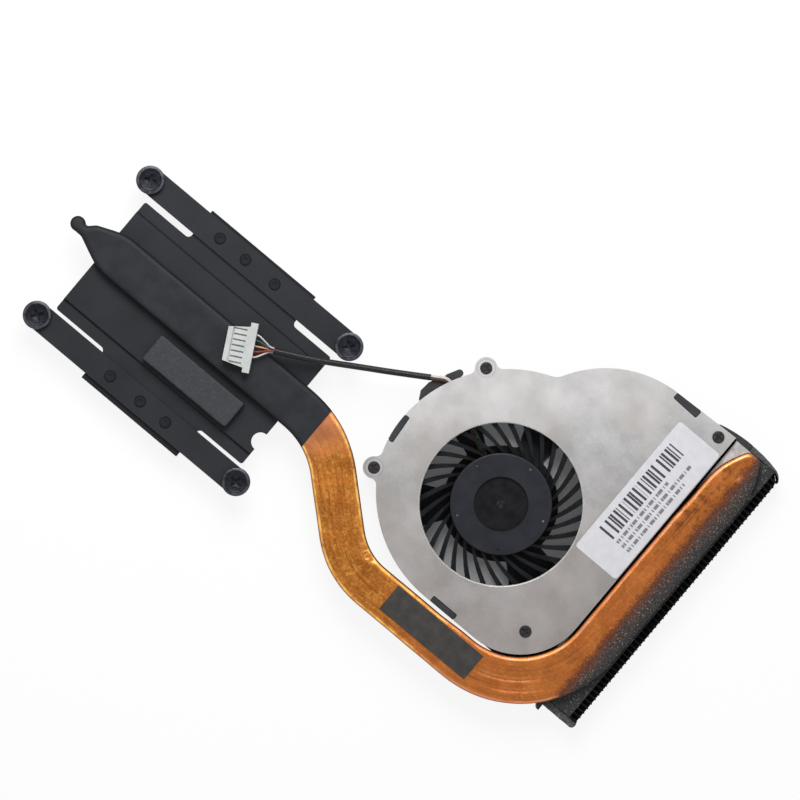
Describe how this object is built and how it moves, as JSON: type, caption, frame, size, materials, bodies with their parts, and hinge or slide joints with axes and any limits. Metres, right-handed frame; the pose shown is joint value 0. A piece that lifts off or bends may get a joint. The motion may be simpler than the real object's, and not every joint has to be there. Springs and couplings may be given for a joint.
{
  "type": "laptop cooling fan heatsink",
  "caption": "Laptop cooling module: processor plate with spring arms and captive screws, flat bent copper heat pipe, folded fin stack and blower fan with cable.",
  "frame": {"origin": "middle of the copper contact face, which is also the middle of the four captive screws", "axes": "+X along the spring arms towards the fan, +Y along the fin stack, +Z away from the processor"},
  "size_m": [0.1583, 0.0844, 0.0114],
  "materials": {
    "copper": "bare copper with a soft satin sheen",
    "black_plate": "black painted, slightly grainy",
    "black_steel": "black painted spring steel",
    "screw_steel": "dark plated steel",
    "fin_aluminium": "bare inside, black on the outer face",
    "cover_steel": "dull plated sheet steel",
    "housing_plastic": "black, fine grain",
    "rotor_plastic": "black moulded plastic",
    "rotor_steel": "dark plated steel",
    "magnet": "dark bonded magnet",
    "bearing_bronze": "sintered bronze",
    "stator_steel": "laminated steel",
    "coil_copper": "enamelled wire",
    "board_green": "solder mask",
    "foam": "closed-cell foam",
    "tape": "dark tape",
    "label": "plain pale label",
    "sleeve_black": "black sleeve",
    "lead_white": "insulated lead",
    "lead_green": "insulated lead",
    "lead_orange": "insulated lead",
    "lead_red": "insulated lead",
    "lead_pink": "insulated lead",
    "connector_nylon": "natural white nylon",
    "contact_tin": "tin-plated brass"
  },
  "bodies": {
    "module": {"contact_slug": "copper", "base_plate": "black_plate", "spring_arm_upper": "black_steel", "spring_arm_lower": "black_steel", "arm_rivets": "screw_steel", "captive_screws": "screw_steel", "screw_retainers": "screw_steel", "heat_pipe": "copper", "pipe_tape": "tape", "plate_foam": "foam", "fin_stack": "fin_aluminium", "outlet_seal_upper": "foam", "outlet_seal_lower": "foam", "fan_cover": "cover_steel", "cover_label": "label", "cover_screws": "rotor_steel", "fan_housing": "housing_plastic", "bearing_sleeve": "bearing_bronze", "thrust_pad": "housing_plastic", "stator_core": "stator_steel", "stator_coils": "coil_copper", "motor_board": "board_green", "cable_sleeve": "sleeve_black", "lead_white": "lead_white", "lead_green": "lead_green", "lead_orange": "lead_orange", "lead_red": "lead_red", "lead_pink": "lead_pink", "connector_housing": "connector_nylon", "connector_contacts": "contact_tin"},
    "rotor": {"impeller": "rotor_plastic", "rotor_cup": "rotor_steel", "rotor_magnet": "magnet", "rotor_shaft": "screw_steel"}
  },
  "joints": [
    {"name": "rotor_spin", "type": "hinge", "parent": "module", "child": "rotor", "pos_m": [0.0772, 0.0145, 0], "axis": [0, 0, 1], "continuous": true}
  ]
}
